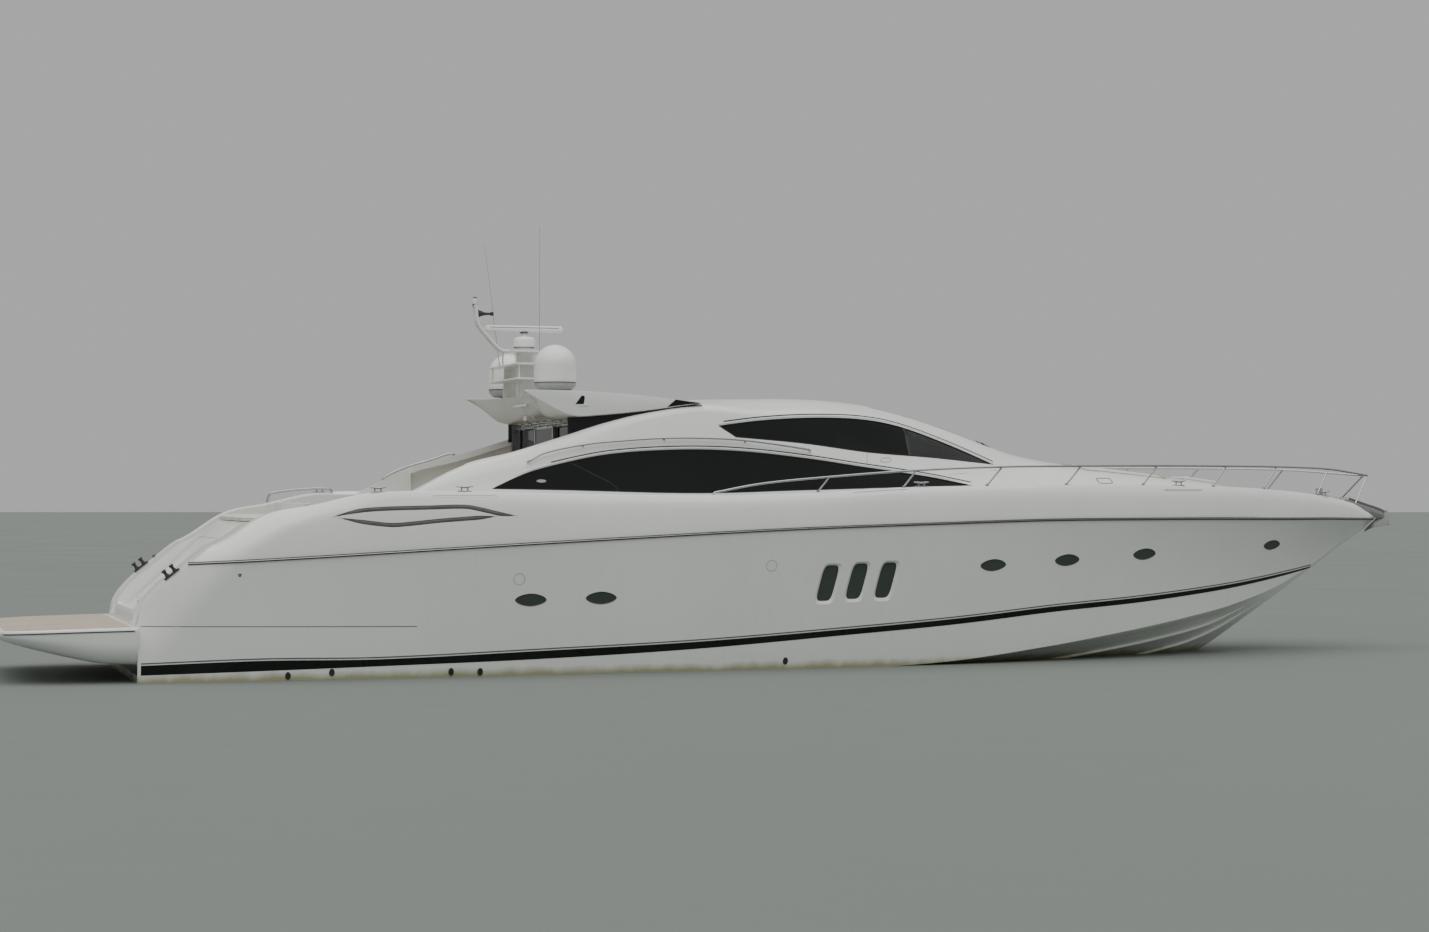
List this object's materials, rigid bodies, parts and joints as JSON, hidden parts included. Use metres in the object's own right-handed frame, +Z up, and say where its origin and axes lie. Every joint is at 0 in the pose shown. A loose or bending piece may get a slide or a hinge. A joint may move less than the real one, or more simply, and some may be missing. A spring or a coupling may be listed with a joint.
{
  "type": "motor yacht",
  "caption": "Fast hardtop motor yacht with an arched side window line, swept radar arch, open cockpit and full planing hull.",
  "frame": {"origin": "amidships on the centreline, at the waterline", "axes": "+X forward towards the bow, +Y to port, +Z up"},
  "size_m": [25.73, 5.898, 8.7439],
  "materials": {
    "gelcoat": "gloss white gelcoat",
    "glass": "dark tinted",
    "steel": "polished stainless",
    "bronze": "satin bronze",
    "grey": "matt",
    "teak": "laid teak",
    "cushion": "soft vinyl",
    "dark": "satin black",
    "cast": "painted casting"
  },
  "bodies": {
    "yacht": {"hull": "gelcoat", "stern_moulding": "gelcoat", "side_deck_port": "gelcoat", "side_deck_stbd": "gelcoat", "foredeck": "gelcoat", "rub_rail": "grey", "bathing_platform": "gelcoat", "sole": "teak", "house_moulding": "gelcoat", "lower_side_glass_port": "glass", "lower_side_glass_stbd": "glass", "upper_side_glass_port": "glass", "upper_side_glass_stbd": "glass", "windscreen": "glass", "radar_arch": "gelcoat", "quarter_glass_port": "glass", "quarter_glass_stbd": "glass", "saloon_bulkhead": "steel", "bulkhead_glass_port": "glass", "bulkhead_glass_stbd": "glass", "foredeck_sunpad": "cushion", "aft_sunpad": "cushion", "cockpit_settee": "cushion", "cockpit_table": "teak", "cockpit_bar": "gelcoat", "helm_console": "dark", "helm_seat": "cushion", "saloon_sofa": "cushion", "saloon_cabinet": "teak", "engine_port": "cast", "engine_stbd": "cast", "bow_rail_port": "steel", "bow_rail_stbd": "steel", "house_handrail_port": "steel", "house_handrail_stbd": "steel", "bow_roller": "steel", "anchor": "steel", "windlass": "steel", "mast_frame": "gelcoat", "satellite_dome_port": "gelcoat", "satellite_dome_stbd": "gelcoat"},
    "saloon_door": {"saloon_door": "glass"},
    "sunroof": {"sunroof": "glass"},
    "garage_door": {"garage_door": "gelcoat"},
    "foredeck_hatch": {"foredeck_hatch": "glass"},
    "helm_wheel": {"helm_wheel": "dark"},
    "radar_scanner": {"radar_scanner": "gelcoat"},
    "propeller_port": {"propeller_port": "bronze"},
    "propeller_stbd": {"propeller_stbd": "bronze"},
    "rudder_port": {"rudder_port": "bronze"},
    "rudder_stbd": {"rudder_stbd": "bronze"},
    "trim_tab_port": {"trim_tab_port": "steel"},
    "trim_tab_stbd": {"trim_tab_stbd": "steel"}
  },
  "joints": [
    {"name": "saloon_door_slide", "type": "slide", "parent": "yacht", "child": "saloon_door", "axis": [0, 1, 0], "range_m": [0, 1.1]},
    {"name": "sunroof_slide", "type": "slide", "parent": "yacht", "child": "sunroof", "axis": [-1, 0, 0], "range_m": [0, 1.15]},
    {"name": "garage_door_lift", "type": "hinge", "parent": "yacht", "child": "garage_door", "pos_m": [-8.64, 0, 2.4], "axis": [0, 1, 0], "range_deg": [0, 65]},
    {"name": "foredeck_hatch_lift", "type": "hinge", "parent": "yacht", "child": "foredeck_hatch", "pos_m": [9.549, 0, 3.084], "axis": [0, 1, 0], "range_deg": [0, 80]},
    {"name": "helm_wheel_turn", "type": "hinge", "parent": "yacht", "child": "helm_wheel", "pos_m": [2.29, -0.8, 2.93], "axis": [0.8525, 0, -0.5227], "range_deg": [-540, 540]},
    {"name": "radar_spin", "type": "hinge", "parent": "yacht", "child": "radar_scanner", "pos_m": [-3.58, 0, 5.686], "axis": [0, 0, 1], "continuous": true},
    {"name": "propeller_port_spin", "type": "hinge", "parent": "yacht", "child": "propeller_port", "pos_m": [-8.75, 1.05, -0.96], "axis": [0.9842, 0, 0.1772], "continuous": true},
    {"name": "propeller_stbd_spin", "type": "hinge", "parent": "yacht", "child": "propeller_stbd", "pos_m": [-8.75, -1.05, -0.96], "axis": [0.9842, 0, 0.1772], "continuous": true},
    {"name": "rudder_stbd_turn", "type": "hinge", "parent": "yacht", "child": "rudder_stbd", "pos_m": [-9.45, -1.05, -0.54], "axis": [0, 0, 1], "range_deg": [-35, 35]},
    {"name": "rudder_port_turn", "type": "hinge", "parent": "yacht", "child": "rudder_port", "pos_m": [-9.45, 1.05, -0.54], "axis": [0, 0, 1], "range_deg": [-35, 35]},
    {"name": "trim_tab_port_lower", "type": "hinge", "parent": "yacht", "child": "trim_tab_port", "pos_m": [-10.275, 1.65, -0.228], "axis": [0, -0.9651, -0.262], "range_deg": [0, 20]},
    {"name": "trim_tab_stbd_lower", "type": "hinge", "parent": "yacht", "child": "trim_tab_stbd", "pos_m": [-10.275, -1.65, -0.228], "axis": [0, -0.9651, 0.262], "range_deg": [0, 20]}
  ],
  "couplings": [
    {"joint": "rudder_port_turn", "follows": "rudder_stbd_turn", "ratio": 1},
    {"joint": "helm_wheel_turn", "follows": "rudder_stbd_turn", "ratio": 15.429}
  ]
}
